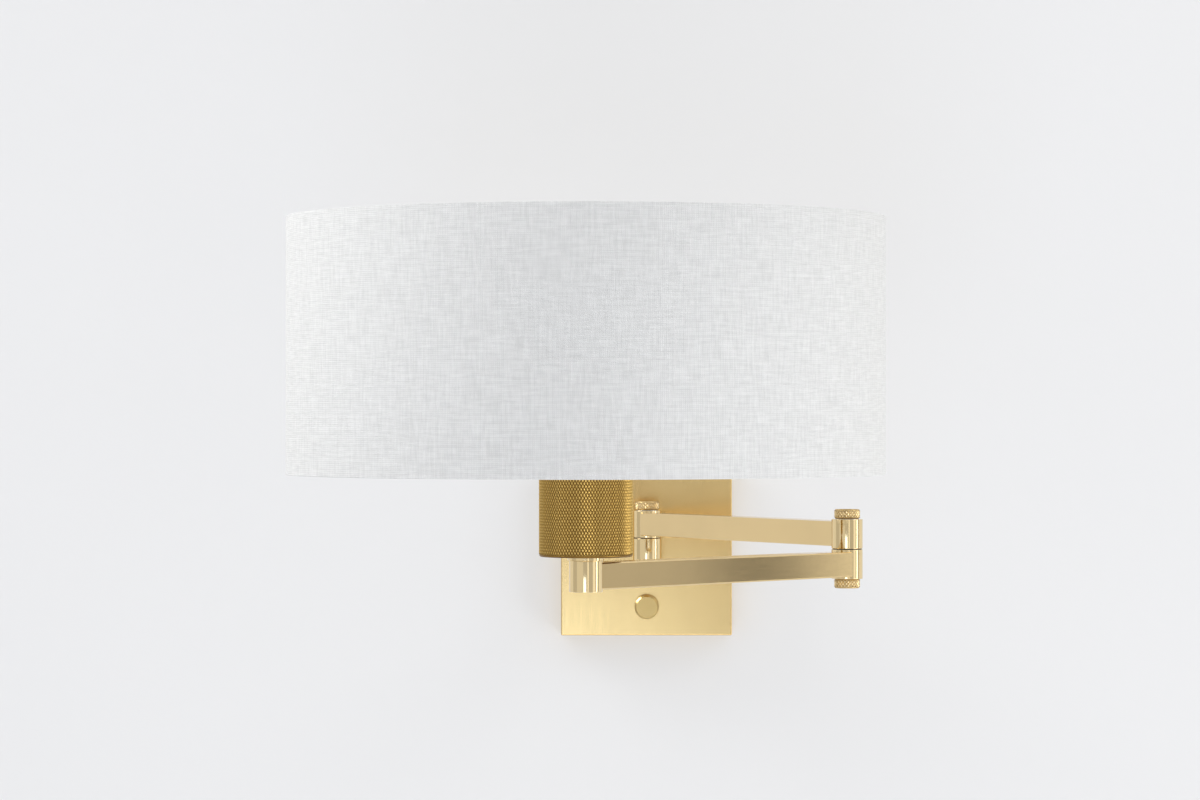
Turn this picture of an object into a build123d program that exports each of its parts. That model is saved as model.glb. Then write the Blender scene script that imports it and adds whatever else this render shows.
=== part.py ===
from build123d import *
import os
from math import cos, radians, sin, tan

# Swing arm wall sconce, millimetres.
# Origin: the centre of the wall bracket's slot pattern, in the plane of the wall.
# +X is to the viewer's right, +Y points into the wall, +Z is up.

# ---- driving dimensions -------------------------------------------------------
# square backplate, a folded sheet box that is open towards the wall
PLATE_SIDE = 120.65
PLATE_DEPTH = 20.0
PLATE_WALL = 1.5
PLATE_EDGE_RADIUS = 1.0

# bracket that screws to the outlet box
BRACKET_LENGTH = 106.0
BRACKET_WIDTH = 24.0
BRACKET_THICKNESS = 2.0
BRACKET_HOLE_RADIUS = 9.0
SLOT_SPACING = 79.4
SLOT_LENGTH = 14.2
SLOT_WIDTH = 4.8
EAR_DEPTH = 11.0
EAR_THICKNESS = 3.0
EAR_GAP = 0.3
COVER_SCREW_RADIUS = 2.0
COVER_SCREW_OUT = 7.0
GROUND_SCREW_RADIUS = 2.0
GROUND_SCREW_HEAD_RADIUS = 4.0
GROUND_SCREW_HEAD_HEIGHT = 2.0
GROUND_SCREW_X = 22.0

# knuckles: stacked round barrels with a hollow pin through them
KNUCKLE_REACH = 32.5
BARREL_RADIUS = 10.0
BARREL_HEIGHT = 18.8
SEAM = 0.6
BARREL_EDGE = 0.3
PIN_RADIUS = 4.8
PIN_BORE_RADIUS = 3.0
PIN_END = 4.5
BUSHING_RADIUS = 6.2
WIRE_HOLE_RADIUS = 2.8
FINIAL_RADIUS = 8.3
FINIAL_HEIGHT = 6.0
FINIAL_EDGE = 0.5
WAVE_WASHER_RADIUS = 7.6
WAVE_WASHER_HEIGHT = 0.9

# arms: hollow bars with rounded long edges
ARM_LENGTH = 242.0
BAR_WIDTH = 17.5
BAR_HEIGHT = 16.0
BAR_WALL = 1.6
BAR_EDGE_RADIUS = 1.0
WIRE_RADIUS = 2.4
UPPER_ARM_HEADING = -58.7
LOWER_ARM_HEADING = 226.4

# lamp holder in its knurled cup
COLLAR_RADIUS = 10.9
COLLAR_HEIGHT = 2.2
CUP_RADIUS = 28.0
CUP_HEIGHT = 70.0
CUP_WALL = 2.0
CUP_FLOOR = 3.0
CUP_EDGE_RADIUS = 1.2
SOCKET_LIFT = 9.4
SOCKET_CAP_HEIGHT = 10.0
SOCKET_CAP_RADIUS = 17.0
SOCKET_CAP_WALL = 1.0
SOCKET_CAP_FLOOR = 2.0
SOCKET_HEIGHT = 55.0
SOCKET_RADIUS = 18.0
SOCKET_WALL = 2.5
SOCKET_FLOOR = 6.0
SCREW_SHELL_WALL = 0.8
SCREW_SHELL_HEIGHT = 38.0
TONGUE_WIDTH = 5.0
TONGUE_REACH = 8.0
TONGUE_THICKNESS = 0.6
CONTACT_HEIGHT = 7.0

# bulb with a medium screw cap
BULB_CAP_RADIUS = 13.2
BULB_CAP_HEIGHT = 25.0
BULB_CAP_WALL = 0.6
BULB_TIP_HEIGHT = 4.0
BULB_TIP_RADIUS = 4.4
BULB_INSULATOR_RADIUS = 8.8
BULB_NECK_RADIUS = 13.5
BULB_RADIUS = 30.0
BULB_GLASS_HEIGHT = 81.0
BULB_GLASS_WALL = 1.0
BULB_CONE_ANGLE = 30.0

# drum shade
SHADE_RADIUS = 177.8
SHADE_HEIGHT = 152.4
SHADE_BOTTOM = 60.5
LINEN_THICKNESS = 0.9
LINER_THICKNESS = 0.8
HEM_THICKNESS = 0.6
HEM_HEIGHT = 10.0
RING_WIRE_RADIUS = 1.5
SPOKE_RADIUS = 1.6
SPOKE_COUNT = 3
SPOKE_FIRST_ANGLE = 90.0
SPOKE_BEND_RADIUS = 34.0
SPOKE_CORNER_RADIUS = 6.4
FITTER_RADIUS = 24.0
FITTER_THICKNESS = 1.5
RING_NUT_RADIUS = 21.8
LOWER_NUT_HEIGHT = 3.0
UPPER_NUT_HEIGHT = 4.0

# dimmer on the lower half of the backplate
DIMMER_DROP = 40.0
DIMMER_SIDE = 26.0
DIMMER_CORNER = 1.5
DIMMER_DEPTH = 14.0
DIMMER_BUSHING_RADIUS = 4.7
DIMMER_BUSHING_LENGTH = 4.2
DIMMER_SHAFT_RADIUS = 3.0
DIMMER_SHAFT_LENGTH = 9.0
DIMMER_NUT_HEIGHT = 2.2
DIMMER_NUT_ACROSS = 12.0
KNOB_RADIUS = 8.5
KNOB_HEIGHT = 9.0
KNOB_EDGE = 1.2
KNOB_STAND_OFF = 0.5
KNOB_RECESS_RADIUS = 7.3
KNOB_RECESS_DEPTH = 4.5
KNOB_SCREW_RADIUS = 1.0

# hardware shared by the threaded tubes
NUT_ACROSS = 14.0
NUT_HEIGHT = 3.5
WASHER_RADIUS = 11.0
WASHER_HEIGHT = 1.2
NIPPLE_ENGAGEMENT = 12.0
NIPPLE_INNER_END = 10.5

# wiring in the backplate
LEAD_RADIUS = 0.85
LEAD_BEND = 2.5
LEAD_RISE = 10.0
CONNECTOR_RADIUS = 4.5
CONNECTOR_TIP_RADIUS = 3.0
CONNECTOR_LENGTH = 20.0
CONNECTOR_PITCH = 12.0
CONNECTOR_FIRST_X = -46.0
CONNECTOR_TOP = 2.0

# clearances
FIT = 0.02
RUNNING_FIT = 0.05
AIR = 0.3
HOLE_CLEARANCE = 0.2

# ---- places that follow from them ---------------------------------------------
WALL_AXIS = Vector(0, -(PLATE_DEPTH + KNUCKLE_REACH))
UPPER_LEVEL = BARREL_HEIGHT + SEAM
BARREL_TOP = BARREL_HEIGHT / 2
MOVING_BARREL_BOTTOM = BARREL_TOP + SEAM
MOVING_BARREL_TOP = MOVING_BARREL_BOTTOM + BARREL_HEIGHT


def along(heading, distance):
    """A level step, by a heading in degrees from +X and a distance."""
    return Vector(distance * cos(radians(heading)), distance * sin(radians(heading)))


ELBOW_AXIS = WALL_AXIS + along(UPPER_ARM_HEADING, ARM_LENGTH)
LAMP_AXIS = ELBOW_AXIS + along(LOWER_ARM_HEADING, ARM_LENGTH)
CUP_BOTTOM = BARREL_TOP + COLLAR_HEIGHT
CUP_INSIDE = CUP_BOTTOM + CUP_FLOOR
SOCKET_CAP_BOTTOM = CUP_INSIDE + SOCKET_LIFT
SOCKET_BOTTOM = SOCKET_CAP_BOTTOM + SOCKET_CAP_HEIGHT
SOCKET_TOP = SOCKET_BOTTOM + SOCKET_HEIGHT
SOCKET_INSIDE = SOCKET_BOTTOM + SOCKET_FLOOR
BULB_TIP = SOCKET_INSIDE + CONTACT_HEIGHT + AIR
BULB_CAP_BOTTOM = BULB_TIP + BULB_TIP_HEIGHT
BULB_CAP_TOP = BULB_CAP_BOTTOM + BULB_CAP_HEIGHT
UPPER_NUT_BOTTOM = SOCKET_TOP - UPPER_NUT_HEIGHT - HOLE_CLEARANCE
FITTER_BOTTOM = UPPER_NUT_BOTTOM - FITTER_THICKNESS
LOWER_NUT_BOTTOM = FITTER_BOTTOM - LOWER_NUT_HEIGHT
SHADE_TOP = SHADE_BOTTOM + SHADE_HEIGHT
LINEN_INSIDE = SHADE_RADIUS - LINEN_THICKNESS
LINER_OUTSIDE = LINEN_INSIDE - FIT
LINER_INSIDE = LINER_OUTSIDE - LINER_THICKNESS
RING_RADIUS = LINER_INSIDE - FIT - RING_WIRE_RADIUS
HEM_OUTSIDE = RING_RADIUS - RING_WIRE_RADIUS - FIT
HEM_INSIDE = HEM_OUTSIDE - HEM_THICKNESS
PLATE_INSIDE = PLATE_DEPTH - PLATE_WALL

os.makedirs("parts", exist_ok=True)


def save(piece, name):
    """Label a finished piece and write it as its own file."""
    piece.part.label = name
    export_step(piece.part, f"parts/{name}.step")


def out(distance):
    """A plane parallel to the wall, this far out into the room, that faces the room."""
    return Plane.XZ.offset(distance)


def level(axis, height):
    """A horizontal plane centred on a vertical axis."""
    return Plane((axis.X, axis.Y, height))


def across(axis, heading, height):
    """A plane across an arm: it faces along the heading, and its Y is up."""
    side = along(heading - 90, 1)
    return Plane((axis.X, axis.Y, height), x_dir=(-side.X, -side.Y, 0),
                 z_dir=tuple(along(heading, 1)))


def ring(plane, outer, inner, height):
    """A plain ring or sleeve that stands on a plane."""
    with BuildPart() as piece:
        with BuildSketch(plane):
            Circle(outer)
            Circle(inner, mode=Mode.SUBTRACT)
        extrude(amount=height)
    return piece


def hex_nut(plane, across_flats, bore, height):
    """A hexagon nut that stands on a plane."""
    with BuildPart() as piece:
        with BuildSketch(plane):
            RegularPolygon(across_flats / 2, 6, major_radius=False)
            Circle(bore, mode=Mode.SUBTRACT)
        extrude(amount=height)
    return piece


def dimmer_plane(distance):
    """A plane across the dimmer's shaft, this far out from the wall."""
    return Plane((0, -distance, -DIMMER_DROP), x_dir=(1, 0, 0), z_dir=(0, -1, 0))


def cover_screw_plane(height, facing=1):
    """A level plane across the cover screws, which faces up, or down if facing is -1."""
    return Plane((0, -COVER_SCREW_OUT, height), z_dir=(0, 0, facing))


def drill(plane, radius, depth):
    """Cut a round hole from a plane, inside the piece that is being built."""
    with BuildSketch(plane) as hole:
        Circle(radius)
    extrude(hole.sketch, amount=depth, mode=Mode.SUBTRACT)


# ---- wall bracket and backplate -----------------------------------------------
EAR_FACE = PLATE_SIDE / 2 - PLATE_WALL - EAR_GAP
EAR_MIDDLE = EAR_FACE - EAR_THICKNESS / 2

with BuildPart() as mounting_bracket:
    with BuildSketch(out(0)):
        Rectangle(BRACKET_LENGTH, BRACKET_WIDTH)
        Rectangle(BRACKET_WIDTH, 2 * EAR_FACE)
        Circle(BRACKET_HOLE_RADIUS, mode=Mode.SUBTRACT)
        with GridLocations(SLOT_SPACING, 0, 2, 1):
            SlotOverall(SLOT_LENGTH, SLOT_WIDTH, mode=Mode.SUBTRACT)
        with Locations((GROUND_SCREW_X, 0)):
            Circle(GROUND_SCREW_RADIUS + FIT, mode=Mode.SUBTRACT)
    extrude(amount=BRACKET_THICKNESS)
    with BuildSketch(out(0)):
        with GridLocations(0, 2 * EAR_MIDDLE, 1, 2):
            Rectangle(BRACKET_WIDTH, EAR_THICKNESS)
    extrude(amount=EAR_DEPTH)
    drill(cover_screw_plane(-EAR_FACE), COVER_SCREW_RADIUS + FIT, 2 * EAR_FACE)
save(mounting_bracket, "mounting_bracket")

with BuildPart() as ground_screw:
    with BuildSketch(out(HOLE_CLEARANCE)):
        with Locations((GROUND_SCREW_X, 0)):
            Circle(GROUND_SCREW_RADIUS)
    extrude(amount=BRACKET_THICKNESS - HOLE_CLEARANCE)
    with BuildSketch(out(BRACKET_THICKNESS)):
        with Locations((GROUND_SCREW_X, 0)):
            RegularPolygon(GROUND_SCREW_HEAD_RADIUS, 6)
    extrude(amount=GROUND_SCREW_HEAD_HEIGHT)
save(ground_screw, "ground_screw")

with BuildPart() as backplate:
    with BuildSketch(out(0)):
        Rectangle(PLATE_SIDE, PLATE_SIDE)
    extrude(amount=PLATE_DEPTH)
    fillet(backplate.edges().filter_by(Axis.Y), PLATE_EDGE_RADIUS)
    fillet(backplate.faces().sort_by(Axis.Y)[0].edges(), PLATE_EDGE_RADIUS)
    with BuildSketch(out(0)):
        Rectangle(PLATE_SIDE - 2 * PLATE_WALL, PLATE_SIDE - 2 * PLATE_WALL)
    extrude(amount=PLATE_INSIDE, mode=Mode.SUBTRACT)
    drill(out(0), PIN_RADIUS + HOLE_CLEARANCE, PLATE_DEPTH)
    drill(dimmer_plane(0), DIMMER_BUSHING_RADIUS + HOLE_CLEARANCE, PLATE_DEPTH)
    drill(cover_screw_plane(-PLATE_SIDE / 2), COVER_SCREW_RADIUS + HOLE_CLEARANCE, PLATE_SIDE)
save(backplate, "backplate")

SCREW_LENGTH = PLATE_WALL + EAR_GAP + EAR_THICKNESS
with BuildPart() as cover_screws:
    for inner_end in (-PLATE_SIDE / 2, PLATE_SIDE / 2 - SCREW_LENGTH):
        with BuildSketch(cover_screw_plane(inner_end)):
            Circle(COVER_SCREW_RADIUS)
        extrude(amount=SCREW_LENGTH)
    for outer_face, facing in ((-PLATE_SIDE / 2, 1), (PLATE_SIDE / 2, -1)):
        with BuildSketch(cover_screw_plane(outer_face, facing)):
            RegularPolygon(COVER_SCREW_RADIUS / 2, 6)
        extrude(amount=COVER_SCREW_RADIUS, mode=Mode.SUBTRACT)
save(cover_screws, "cover_screws")

# ---- fixed post between the backplate and the wall knuckle ----------------------
with BuildPart() as wall_post:
    with BuildSketch(out(PLATE_DEPTH)):
        RectangleRounded(BAR_WIDTH, BAR_HEIGHT, BAR_EDGE_RADIUS)
    extrude(amount=KNUCKLE_REACH)
    with BuildSketch(level(WALL_AXIS, -BAR_HEIGHT)):
        Circle(BARREL_RADIUS + FIT)
    extrude(amount=2 * BAR_HEIGHT, mode=Mode.SUBTRACT)
    drill(out(PLATE_DEPTH), PIN_RADIUS + FIT, NIPPLE_ENGAGEMENT + AIR)
    drill(out(PLATE_DEPTH), PIN_BORE_RADIUS, KNUCKLE_REACH)
save(wall_post, "wall_post")

post_nipple = ring(out(NIPPLE_INNER_END), PIN_RADIUS, PIN_BORE_RADIUS,
                   PLATE_DEPTH - NIPPLE_INNER_END + NIPPLE_ENGAGEMENT)
save(post_nipple, "post_nipple")

post_washer = ring(out(PLATE_INSIDE - WASHER_HEIGHT), WASHER_RADIUS, PIN_RADIUS + FIT, WASHER_HEIGHT)
save(post_washer, "post_washer")

NUT_SEAT = PLATE_INSIDE - WASHER_HEIGHT - NUT_HEIGHT
post_nut = hex_nut(out(NUT_SEAT), NUT_ACROSS, PIN_RADIUS + FIT, NUT_HEIGHT)
save(post_nut, "post_nut")


# ---- knuckle parts ---------------------------------------------------------------
def fixed_barrel(axis, bar_heading):
    """The barrel that holds the pin, with a hole for the wire towards its bar."""
    with BuildPart() as piece:
        with BuildSketch(level(axis, -BARREL_TOP)):
            Circle(BARREL_RADIUS)
            Circle(PIN_RADIUS + FIT, mode=Mode.SUBTRACT)
        extrude(amount=BARREL_HEIGHT)
        chamfer(piece.edges().filter_by(GeomType.CIRCLE).group_by(SortBy.RADIUS)[-1], BARREL_EDGE)
        drill(across(axis, bar_heading, 0), WIRE_HOLE_RADIUS, 2 * BARREL_RADIUS)
    return piece


def moving_barrel(axis, bar_heading):
    """The barrel that turns on the pin, with a bushing seat and a wave washer recess."""
    with BuildPart() as piece:
        with BuildSketch(level(axis, MOVING_BARREL_BOTTOM)):
            Circle(BARREL_RADIUS)
            Circle(BUSHING_RADIUS + FIT, mode=Mode.SUBTRACT)
        extrude(amount=BARREL_HEIGHT)
        chamfer(piece.edges().filter_by(GeomType.CIRCLE).group_by(SortBy.RADIUS)[-1], BARREL_EDGE)
        drill(level(axis, MOVING_BARREL_TOP - WAVE_WASHER_HEIGHT),
              WAVE_WASHER_RADIUS + AIR, WAVE_WASHER_HEIGHT)
        drill(across(axis, bar_heading, UPPER_LEVEL), WIRE_HOLE_RADIUS, 2 * BARREL_RADIUS)
    return piece


def bushing(axis, bar_heading):
    """A nylon sleeve between a moving barrel and the pin."""
    with BuildPart() as piece:
        with BuildSketch(level(axis, MOVING_BARREL_BOTTOM + AIR)):
            Circle(BUSHING_RADIUS)
            Circle(PIN_RADIUS + RUNNING_FIT, mode=Mode.SUBTRACT)
        extrude(amount=BARREL_HEIGHT - WAVE_WASHER_HEIGHT - 2 * AIR)
        drill(across(axis, bar_heading, UPPER_LEVEL), WIRE_HOLE_RADIUS, 2 * BARREL_RADIUS)
    return piece


def pivot_pin(axis, fixed_heading):
    """A hollow threaded pin through both barrels, with a window at each for the wire."""
    with BuildPart() as piece:
        with BuildSketch(level(axis, -BARREL_TOP - PIN_END)):
            Circle(PIN_RADIUS)
            Circle(PIN_BORE_RADIUS, mode=Mode.SUBTRACT)
        extrude(amount=MOVING_BARREL_TOP + AIR + BARREL_TOP + 2 * PIN_END)
        drill(across(axis, fixed_heading, 0), WIRE_HOLE_RADIUS, BARREL_RADIUS)
        with BuildSketch(across(axis, fixed_heading, UPPER_LEVEL)):
            Circle(WIRE_HOLE_RADIUS)
        extrude(amount=BARREL_RADIUS, both=True, mode=Mode.SUBTRACT)
    return piece


def finial(axis, seat, direction):
    """A round nut that closes one end of a knuckle; it is knurled round its side."""
    with BuildPart() as piece:
        with BuildSketch(Plane((axis.X, axis.Y, seat), z_dir=(0, 0, direction))):
            Circle(FINIAL_RADIUS)
        extrude(amount=FINIAL_HEIGHT)
        chamfer(piece.edges().filter_by(GeomType.CIRCLE), FINIAL_EDGE)
        drill(Plane((axis.X, axis.Y, seat), z_dir=(0, 0, direction)), PIN_RADIUS + FIT, PIN_END + FIT)
    return piece


def knuckle_hardware(prefix, axis, fixed_heading):
    """The pin, washers and finials that hold one knuckle together."""
    save(pivot_pin(axis, fixed_heading), f"{prefix}_pin")
    thrust_washer = ring(level(axis, BARREL_TOP), BARREL_RADIUS - 2 * BARREL_EDGE,
                         PIN_RADIUS + FIT, SEAM - 2 * RUNNING_FIT)
    save(thrust_washer, f"{prefix}_thrust_washer")
    wave_bottom = MOVING_BARREL_TOP + AIR - WAVE_WASHER_HEIGHT
    wave_washer = ring(level(axis, wave_bottom), WAVE_WASHER_RADIUS,
                       PIN_RADIUS + AIR, WAVE_WASHER_HEIGHT)
    save(wave_washer, f"{prefix}_wave_washer")
    save(finial(axis, MOVING_BARREL_TOP + AIR, 1), f"{prefix}_top_finial")
    save(finial(axis, -BARREL_TOP, -1), f"{prefix}_bottom_finial")


POST_HEADING = 90
save(fixed_barrel(WALL_AXIS, POST_HEADING), "wall_barrel")
knuckle_hardware("wall", WALL_AXIS, POST_HEADING)
save(fixed_barrel(ELBOW_AXIS, LOWER_ARM_HEADING), "lower_arm_elbow_barrel")
knuckle_hardware("elbow", ELBOW_AXIS, LOWER_ARM_HEADING)
save(moving_barrel(WALL_AXIS, UPPER_ARM_HEADING), "upper_arm_wall_barrel")
save(moving_barrel(ELBOW_AXIS, UPPER_ARM_HEADING + 180), "upper_arm_elbow_barrel")
save(bushing(WALL_AXIS, UPPER_ARM_HEADING), "wall_bushing")
save(bushing(ELBOW_AXIS, UPPER_ARM_HEADING + 180), "elbow_bushing")


# ---- arms -------------------------------------------------------------------------
def arm_bar(start, heading, height):
    """A hollow bar between two barrels, coped to fit round both of them."""
    with BuildPart() as piece:
        with BuildSketch(across(start, heading, height)):
            RectangleRounded(BAR_WIDTH, BAR_HEIGHT, BAR_EDGE_RADIUS)
            RectangleRounded(BAR_WIDTH - 2 * BAR_WALL, BAR_HEIGHT - 2 * BAR_WALL,
                             BAR_EDGE_RADIUS / 2, mode=Mode.SUBTRACT)
        extrude(amount=ARM_LENGTH)
        for axis in (start, start + along(heading, ARM_LENGTH)):
            with BuildSketch(level(axis, height - BAR_HEIGHT)):
                Circle(BARREL_RADIUS + FIT)
            extrude(amount=2 * BAR_HEIGHT, mode=Mode.SUBTRACT)
    return piece


def arm_wire(start, heading, height):
    """The twin flex inside a bar, lying along its floor between the two barrels."""
    first = start + along(heading, BARREL_RADIUS + AIR)
    rest_height = height - BAR_HEIGHT / 2 + BAR_WALL + WIRE_RADIUS + FIT
    with BuildPart() as piece:
        with BuildSketch(across(first, heading, rest_height)):
            Circle(WIRE_RADIUS)
        extrude(amount=ARM_LENGTH - 2 * (BARREL_RADIUS + AIR))
    return piece


save(arm_bar(WALL_AXIS, UPPER_ARM_HEADING, UPPER_LEVEL), "upper_arm_bar")
save(arm_wire(WALL_AXIS, UPPER_ARM_HEADING, UPPER_LEVEL), "upper_arm_wire")
save(arm_bar(ELBOW_AXIS, LOWER_ARM_HEADING, 0), "lower_arm_bar")
save(arm_wire(ELBOW_AXIS, LOWER_ARM_HEADING, 0), "lower_arm_wire")

# ---- lamp end of the lower arm ------------------------------------------------------
NIPPLE_DEPTH = BARREL_HEIGHT / 2
with BuildPart() as lower_arm_lamp_barrel:
    with BuildSketch(level(LAMP_AXIS, -BARREL_TOP)):
        Circle(BARREL_RADIUS)
    extrude(amount=BARREL_HEIGHT)
    chamfer(lower_arm_lamp_barrel.edges().filter_by(GeomType.CIRCLE), BARREL_EDGE)
    drill(level(LAMP_AXIS, BARREL_TOP - NIPPLE_DEPTH), PIN_RADIUS + FIT, NIPPLE_DEPTH)
    drill(level(LAMP_AXIS, -WIRE_HOLE_RADIUS), PIN_BORE_RADIUS, BARREL_TOP)
    drill(across(LAMP_AXIS, LOWER_ARM_HEADING + 180, 0), WIRE_HOLE_RADIUS, 2 * BARREL_RADIUS)
save(lower_arm_lamp_barrel, "lower_arm_lamp_barrel")

NIPPLE_TOP = SOCKET_CAP_BOTTOM + NUT_HEIGHT
head_nipple = ring(level(LAMP_AXIS, BARREL_TOP - NIPPLE_DEPTH), PIN_RADIUS, PIN_BORE_RADIUS,
                   NIPPLE_TOP - BARREL_TOP + NIPPLE_DEPTH)
save(head_nipple, "head_nipple")

head_collar = ring(level(LAMP_AXIS, BARREL_TOP), COLLAR_RADIUS, PIN_RADIUS + FIT, COLLAR_HEIGHT)
save(head_collar, "head_collar")

with BuildPart() as knurled_cup:
    with BuildSketch(level(LAMP_AXIS, CUP_BOTTOM)):
        Circle(CUP_RADIUS)
    extrude(amount=CUP_HEIGHT)
    fillet(knurled_cup.edges().sort_by(Axis.Z)[0], CUP_EDGE_RADIUS)
    drill(level(LAMP_AXIS, CUP_INSIDE), CUP_RADIUS - CUP_WALL, CUP_HEIGHT)
    drill(level(LAMP_AXIS, CUP_BOTTOM), PIN_RADIUS + HOLE_CLEARANCE, CUP_FLOOR)
save(knurled_cup, "knurled_cup")

cup_washer = ring(level(LAMP_AXIS, CUP_INSIDE), WASHER_RADIUS, PIN_RADIUS + FIT, WASHER_HEIGHT)
save(cup_washer, "cup_washer")

cup_nut = hex_nut(level(LAMP_AXIS, CUP_INSIDE + WASHER_HEIGHT), NUT_ACROSS,
                  PIN_RADIUS + FIT, NUT_HEIGHT)
save(cup_nut, "cup_nut")

# ---- lamp holder -----------------------------------------------------------------------
with BuildPart() as socket_cap:
    with BuildSketch(level(LAMP_AXIS, SOCKET_CAP_BOTTOM)):
        Circle(SOCKET_CAP_RADIUS)
    extrude(amount=SOCKET_CAP_HEIGHT)
    drill(level(LAMP_AXIS, SOCKET_CAP_BOTTOM + SOCKET_CAP_FLOOR),
          SOCKET_CAP_RADIUS - SOCKET_CAP_WALL, SOCKET_CAP_HEIGHT)
    drill(level(LAMP_AXIS, SOCKET_CAP_BOTTOM), PIN_RADIUS + FIT, SOCKET_CAP_HEIGHT)
save(socket_cap, "socket_cap")

with BuildPart() as socket_body:
    with BuildSketch(level(LAMP_AXIS, SOCKET_BOTTOM)):
        Circle(SOCKET_RADIUS)
    extrude(amount=SOCKET_HEIGHT)
    drill(level(LAMP_AXIS, SOCKET_INSIDE), SOCKET_RADIUS - SOCKET_WALL, SOCKET_HEIGHT)
    with BuildSketch(level(LAMP_AXIS, SOCKET_BOTTOM)):
        with GridLocations(SOCKET_RADIUS, 0, 2, 1):
            Circle(LEAD_RADIUS)
    extrude(amount=SOCKET_FLOOR, mode=Mode.SUBTRACT)
save(socket_body, "socket_body")

SCREW_SHELL_RADIUS = SOCKET_RADIUS - SOCKET_WALL - FIT
screw_shell = ring(level(LAMP_AXIS, SOCKET_INSIDE), SCREW_SHELL_RADIUS,
                   SCREW_SHELL_RADIUS - SCREW_SHELL_WALL, SCREW_SHELL_HEIGHT)
save(screw_shell, "screw_shell")

TONGUE_BACK = Plane((LAMP_AXIS.X, LAMP_AXIS.Y + TONGUE_WIDTH / 2, SOCKET_INSIDE),
                    x_dir=(1, 0, 0), z_dir=(0, -1, 0))
TONGUE_UNDERSIDE = CONTACT_HEIGHT - TONGUE_THICKNESS
with BuildPart() as center_contact:
    with BuildSketch(TONGUE_BACK):
        with BuildLine():
            Polyline((TONGUE_REACH, 0), (-TONGUE_REACH, 0), (-TONGUE_REACH, TONGUE_THICKNESS),
                     (-TONGUE_REACH / 2, CONTACT_HEIGHT), (TONGUE_REACH / 2, CONTACT_HEIGHT),
                     (TONGUE_REACH / 2, TONGUE_UNDERSIDE), (-TONGUE_REACH / 3, TONGUE_UNDERSIDE),
                     (-TONGUE_REACH + 2 * TONGUE_THICKNESS, TONGUE_THICKNESS),
                     (TONGUE_REACH, TONGUE_THICKNESS), close=True)
        make_face()
    extrude(amount=TONGUE_WIDTH)
save(center_contact, "center_contact")

# ---- bulb ----------------------------------------------------------------------------------
with BuildPart() as bulb_contact:
    with BuildSketch(level(LAMP_AXIS, BULB_TIP)):
        Circle(BULB_TIP_RADIUS)
    with BuildSketch(level(LAMP_AXIS, BULB_CAP_BOTTOM)):
        Circle(BULB_INSULATOR_RADIUS)
    loft()
save(bulb_contact, "bulb_contact")

with BuildPart() as bulb_cap:
    with BuildSketch(level(LAMP_AXIS, BULB_CAP_BOTTOM)):
        Circle(BULB_CAP_RADIUS)
    extrude(amount=BULB_CAP_HEIGHT)
    drill(level(LAMP_AXIS, BULB_CAP_BOTTOM + BULB_CAP_WALL),
          BULB_CAP_RADIUS - BULB_CAP_WALL, BULB_CAP_HEIGHT)
save(bulb_cap, "bulb_cap")


def bulb_outline(inset):
    """Half outline of the bulb: neck, cone and round end, this far inside the glass."""
    radius = BULB_RADIUS - inset
    neck = BULB_NECK_RADIUS - inset
    centre = Vector(0, BULB_CAP_TOP + BULB_GLASS_HEIGHT - BULB_RADIUS)
    join = centre + along(-BULB_CONE_ANGLE, radius)
    side = centre + along((90 - BULB_CONE_ANGLE) / 2, radius)
    top = centre + along(90, radius)
    shoulder = join.Y - (join.X - neck) / tan(radians(BULB_CONE_ANGLE))
    with BuildLine() as outline:
        Polyline((0, BULB_CAP_TOP), (neck, BULB_CAP_TOP), (neck, shoulder), join)
        ThreePointArc(join, side, top)
        Line(top, (0, BULB_CAP_TOP))
    make_face(outline.edges())


LAMP_SECTION = Plane((LAMP_AXIS.X, LAMP_AXIS.Y, 0), x_dir=(1, 0, 0), z_dir=(0, -1, 0))
LAMP_LINE = Axis((LAMP_AXIS.X, LAMP_AXIS.Y, 0), (0, 0, 1))

with BuildPart() as bulb_glass:
    with BuildSketch(LAMP_SECTION):
        bulb_outline(0)
    revolve(axis=LAMP_LINE)
    with BuildSketch(LAMP_SECTION):
        bulb_outline(BULB_GLASS_WALL)
    revolve(axis=LAMP_LINE, mode=Mode.SUBTRACT)
save(bulb_glass, "bulb_glass")

# ---- shade fitter -------------------------------------------------------------------------------
lower_ring_nut = ring(level(LAMP_AXIS, LOWER_NUT_BOTTOM), RING_NUT_RADIUS,
                      SOCKET_RADIUS + FIT, LOWER_NUT_HEIGHT)
save(lower_ring_nut, "lower_ring_nut")

fitter_ring = ring(level(LAMP_AXIS, FITTER_BOTTOM), FITTER_RADIUS,
                   SOCKET_RADIUS + HOLE_CLEARANCE, FITTER_THICKNESS)
save(fitter_ring, "fitter_ring")

upper_ring_nut = ring(level(LAMP_AXIS, UPPER_NUT_BOTTOM), RING_NUT_RADIUS,
                      SOCKET_RADIUS + FIT, UPPER_NUT_HEIGHT)
save(upper_ring_nut, "upper_ring_nut")

BOTTOM_RING_HEIGHT = SHADE_BOTTOM + HEM_THICKNESS + FIT + RING_WIRE_RADIUS
TOP_RING_HEIGHT = SHADE_TOP - HEM_THICKNESS - FIT - RING_WIRE_RADIUS
SPOKE_LEVEL = FITTER_BOTTOM + FITTER_THICKNESS / 2
SPOKE_END = RING_RADIUS - RING_WIRE_RADIUS - FIT
SPOKE_ANGLES = [SPOKE_FIRST_ANGLE + i * 360 / SPOKE_COUNT for i in range(SPOKE_COUNT)]


def spoke_route(heading):
    """Centre points of one spoke: level over the cup's rim, then down to the shade's ring."""
    stations = (
        (FITTER_RADIUS, SPOKE_LEVEL),
        (SPOKE_BEND_RADIUS, SPOKE_LEVEL),
        (SPOKE_END, BOTTOM_RING_HEIGHT),
    )
    return [LAMP_AXIS + along(heading, radius) + Vector(0, 0, height)
            for radius, height in stations]


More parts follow.
